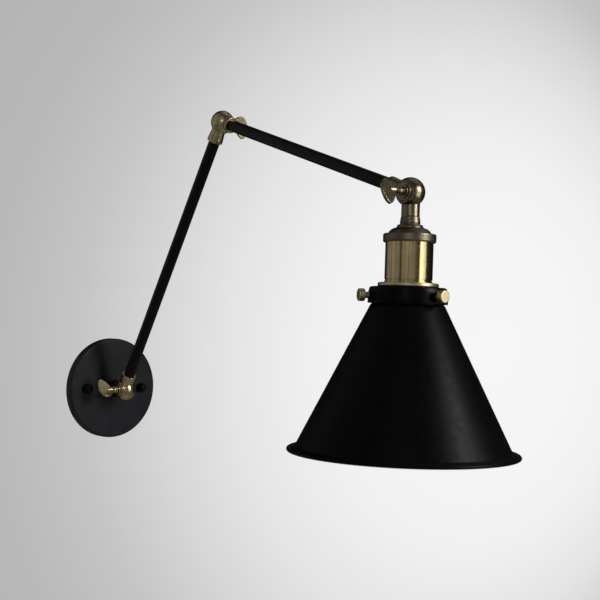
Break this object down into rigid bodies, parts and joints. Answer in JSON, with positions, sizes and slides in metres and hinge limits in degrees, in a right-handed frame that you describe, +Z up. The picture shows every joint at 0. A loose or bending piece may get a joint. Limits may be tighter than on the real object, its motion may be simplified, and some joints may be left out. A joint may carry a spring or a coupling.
{
  "type": "adjustable wall lamp",
  "caption": "Adjustable wall lamp: round wall plate, two tube arms on ball knuckles with wing screws, and a brass lampholder with a conical metal shade.",
  "frame": {"origin": "centre of the wall plate's back, on the wall plane, midway between the two fixing slots of the mounting bar", "axes": "+Z up, +Y into the wall (the lamp reaches out along -Y), +X to the right when facing the wall"},
  "size_m": [0.1816, 0.496, 0.3198],
  "materials": {
    "plate_black": "fine satin black paint, slightly charcoal",
    "nut_black": "satin black",
    "tube_black": "satin black paint",
    "shade_black": "satin black outside, off-white enamel inside",
    "holder_black": "satin black paint",
    "antique_brass": "antique brass, dark bronze with rubbed highlights",
    "cap_brass": "antique brass, turned, dark",
    "shell_brass": "golden antique brass, brushed lengthways",
    "screw_brass": "polished brass",
    "socket_brass": "plain brass",
    "zinc_steel": "zinc-plated steel",
    "fibre": "dark fibre or nylon",
    "lead_sheath": "black sheathed flex",
    "porcelain": "white glazed porcelain"
  },
  "bodies": {
    "wall_mount": {"wall_plate": "plate_black", "mounting_bar": "zinc_steel", "mounting_studs": "zinc_steel", "stud_locknuts": "zinc_steel", "cap_nuts": "nut_black", "earth_screw": "screw_brass"},
    "base_swivel": {"base_nipple": "nut_black", "base_nuts": "nut_black", "base_washers": "nut_black", "base_lead": "lead_sheath", "base_knuckle_body": "antique_brass"},
    "lower_arm": {"base_knuckle_clamp": "antique_brass", "base_friction_ring": "fibre", "base_screw_washer": "antique_brass", "lower_arm_tube": "tube_black", "lower_arm_lead": "lead_sheath", "elbow_knuckle_body": "antique_brass"},
    "upper_arm": {"elbow_knuckle_clamp": "antique_brass", "elbow_friction_ring": "fibre", "elbow_screw_washer": "antique_brass", "upper_arm_tube": "tube_black", "upper_arm_lead": "lead_sheath", "head_knuckle_clamp": "antique_brass", "head_friction_ring": "fibre", "head_screw_washer": "antique_brass"},
    "head": {"head_knuckle_body": "antique_brass", "stem_nipple": "zinc_steel", "head_lead": "lead_sheath", "lampholder_cap": "cap_brass", "grub_screw": "antique_brass", "lampholder_shell": "shell_brass", "gallery_ring_upper": "screw_brass", "gallery_ring_lower": "screw_brass", "porcelain_insert": "porcelain", "screw_sleeve": "socket_brass", "centre_contact": "socket_brass", "terminal_screws": "socket_brass", "shade_holder": "holder_black", "shade": "shade_black"},
    "base_wing": {"base_wing_screw": "antique_brass"},
    "elbow_wing": {"elbow_wing_screw": "antique_brass"},
    "head_wing": {"head_wing_screw": "antique_brass"},
    "shade_screw_f": {"shade_screw_front": "screw_brass"},
    "shade_screw_l": {"shade_screw_left": "screw_brass"},
    "shade_screw_r": {"shade_screw_right": "screw_brass"}
  },
  "joints": [
    {"name": "base_swivel_turn", "type": "hinge", "parent": "wall_mount", "child": "base_swivel", "pos_m": [0, 0, 0], "axis": [0, -1, 0], "range_deg": [-90, 90]},
    {"name": "base_tilt", "type": "hinge", "parent": "base_swivel", "child": "lower_arm", "pos_m": [-0.001, -0.03024, 0], "axis": [1, 0, 0], "range_deg": [-29, 81]},
    {"name": "elbow", "type": "hinge", "parent": "lower_arm", "child": "upper_arm", "pos_m": [-0.001, -0.17326, 0.25801], "axis": [-1, 0, 0], "range_deg": [-25, 129]},
    {"name": "head_tilt", "type": "hinge", "parent": "upper_arm", "child": "head", "pos_m": [0.001, -0.40519, 0.17906], "axis": [1, 0, 0], "range_deg": [-171, 28]},
    {"name": "base_wing_turn", "type": "hinge", "parent": "base_swivel", "child": "base_wing", "pos_m": [-0.001, -0.03024, 0], "axis": [-1, 0, 0], "range_deg": [0, 270]},
    {"name": "elbow_wing_turn", "type": "hinge", "parent": "lower_arm", "child": "elbow_wing", "pos_m": [-0.001, -0.17326, 0.25801], "axis": [1, 0, 0], "range_deg": [0, 270]},
    {"name": "head_wing_turn", "type": "hinge", "parent": "head", "child": "head_wing", "pos_m": [0.001, -0.40519, 0.17906], "axis": [-1, 0, 0], "range_deg": [0, 270]},
    {"name": "shade_screw_f_turn", "type": "hinge", "parent": "head", "child": "shade_screw_f", "pos_m": [-0.00104, -0.44387, 0.09786], "axis": [-0.0785, -0.9969, 0], "range_deg": [0, 360]},
    {"name": "shade_screw_l_turn", "type": "hinge", "parent": "head", "child": "shade_screw_l", "pos_m": [-0.0316, -0.38579, 0.09786], "axis": [-0.866, 0.5, 0], "range_deg": [0, 360]},
    {"name": "shade_screw_r_turn", "type": "hinge", "parent": "head", "child": "shade_screw_r", "pos_m": [0.0356, -0.38579, 0.09786], "axis": [0.866, 0.5, 0], "range_deg": [0, 360]}
  ]
}
